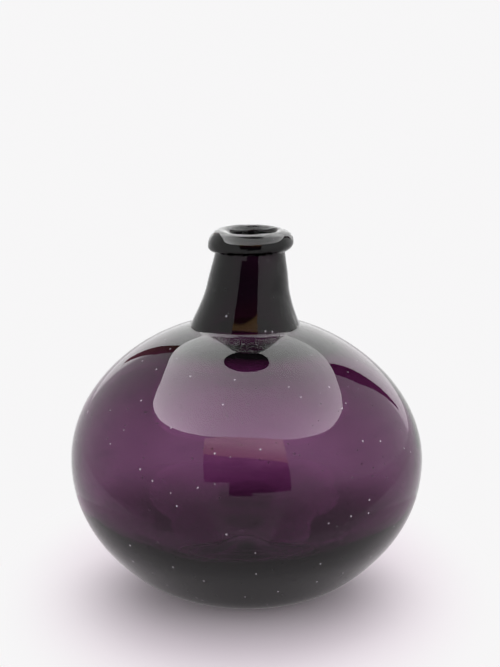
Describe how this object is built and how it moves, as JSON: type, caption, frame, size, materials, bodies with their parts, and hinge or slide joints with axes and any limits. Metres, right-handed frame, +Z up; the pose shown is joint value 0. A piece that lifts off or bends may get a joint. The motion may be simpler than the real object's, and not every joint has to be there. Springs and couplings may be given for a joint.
{
  "type": "glass bottle",
  "caption": "Open globular free-blown bottle of dark amethyst glass: round body, short tapering neck, thick uneven lip ring and pushed-up base.",
  "frame": {"origin": "on the surface that the bottle stands on, below the middle of the bulb", "axes": "+Z up through the mouth, +X the way the neck leans"},
  "size_m": [0.17, 0.17, 0.1768],
  "materials": {
    "amethyst_glass": "glossy free-blown surface, faint waves and seed bubbles",
    "lip_glass": "fire-polished, glossy, uneven",
    "scar_glass": "broken, ragged, half glossy"
  },
  "bodies": {
    "root": {"blown_vessel": "amethyst_glass", "lip_ring": "lip_glass", "pontil_scar": "scar_glass"}
  },
  "joints": []
}
